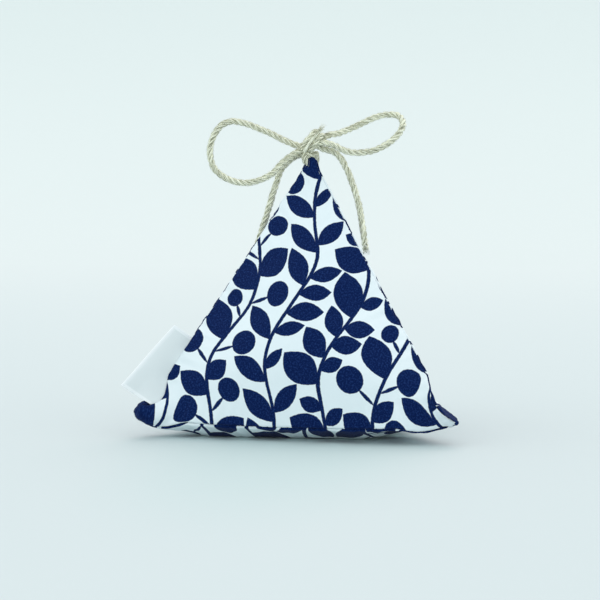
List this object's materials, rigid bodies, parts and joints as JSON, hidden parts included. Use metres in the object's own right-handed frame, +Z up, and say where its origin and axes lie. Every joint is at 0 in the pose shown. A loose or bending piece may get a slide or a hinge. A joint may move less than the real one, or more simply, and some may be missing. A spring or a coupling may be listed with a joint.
{
  "type": "lavender sachet",
  "caption": "Stuffed pyramid pouch of printed cotton filled with dried lavender, with a ribbon label sewn into a seam and a twine bow threaded through its tip.",
  "frame": {"origin": "centre of the flat patch on which the base panel rests", "axes": "+Z up from the table to the tip, -Y out of the front panel, +X along the front panel's lower seam to its right corner"},
  "size_m": [0.1183, 0.1007, 0.1176],
  "materials": {
    "printed_cotton": "brushed cotton, white with a dense navy leaf print",
    "lavender": "loose dried flower buds",
    "thread": "navy sewing thread",
    "ribbon": "white woven satin ribbon, bare",
    "jute": "pale three-ply twine, hairy"
  },
  "bodies": {
    "sachet": {"front_panel": "printed_cotton", "right_panel": "printed_cotton", "left_panel": "printed_cotton", "base_panel": "printed_cotton", "lavender_filling": "lavender", "thread_front_left": "thread", "thread_front_right": "thread", "thread_rear": "thread", "thread_base_front": "thread", "thread_base_right": "thread", "thread_base_left": "thread", "neck_twine": "jute"},
    "label": {"side_label": "ribbon"},
    "bow": {"bow_knot": "jute", "left_loop": "jute", "right_loop": "jute", "left_tail": "jute", "right_tail": "jute"}
  },
  "joints": [
    {"name": "label_flap", "type": "hinge", "parent": "sachet", "child": "label", "pos_m": [-0.0545, -0.03147, 0.01291], "axis": [0.5239, 0.3024, 0.7963], "range_deg": [-60, 60], "stiffness_Nm_per_rad": 0.0001},
    {"name": "bow_nod", "type": "hinge", "parent": "sachet", "child": "bow", "pos_m": [0.0008, 0, 0.1052], "axis": [1, 0, 0], "range_deg": [0, 50], "stiffness_Nm_per_rad": 0.0005}
  ]
}
